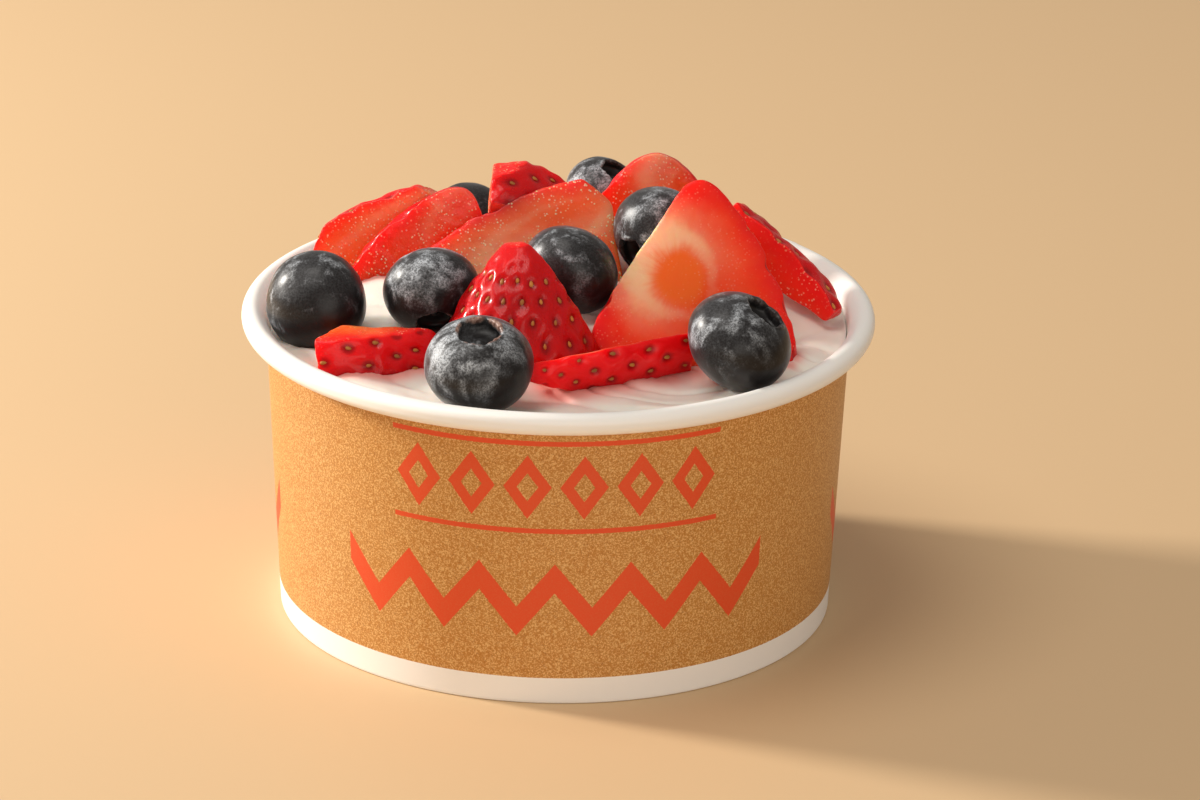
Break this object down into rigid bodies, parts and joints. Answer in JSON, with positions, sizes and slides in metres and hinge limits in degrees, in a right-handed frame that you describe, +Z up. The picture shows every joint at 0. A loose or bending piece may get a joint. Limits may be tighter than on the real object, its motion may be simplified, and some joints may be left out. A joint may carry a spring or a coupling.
{
  "type": "yogurt parfait",
  "caption": "Short round paper cup with a rolled lip, filled with thick yogurt and topped with blueberries and cut strawberries.",
  "frame": {"origin": "middle of the cup's foot, on the surface it stands on", "axes": "+Z up along the cup's axis, -Y towards the side that the picture shows"},
  "size_m": [0.102, 0.102, 0.0719],
  "materials": {
    "paper": "coated board, kraft-coloured print on white",
    "yogurt": "soft, moist",
    "blueberry": "dark skin with a pale bloom",
    "strawberry": "wet flesh and skin"
  },
  "bodies": {
    "root": {"cup": "paper", "yogurt": "yogurt", "blueberry_left": "blueberry", "blueberry_mid_left": "blueberry", "blueberry_front": "blueberry", "blueberry_middle": "blueberry", "blueberry_front_right": "blueberry", "blueberry_mid_right": "blueberry", "blueberry_back": "blueberry", "blueberry_back_left": "blueberry", "strawberry_front_left": "strawberry", "strawberry_front_right": "strawberry", "strawberry_standing": "strawberry", "strawberry_big_slice": "strawberry", "strawberry_long_slice": "strawberry", "strawberry_left_front": "strawberry", "strawberry_left_back": "strawberry", "strawberry_behind_right": "strawberry", "strawberry_back_right": "strawberry", "strawberry_back": "strawberry"}
  },
  "joints": []
}
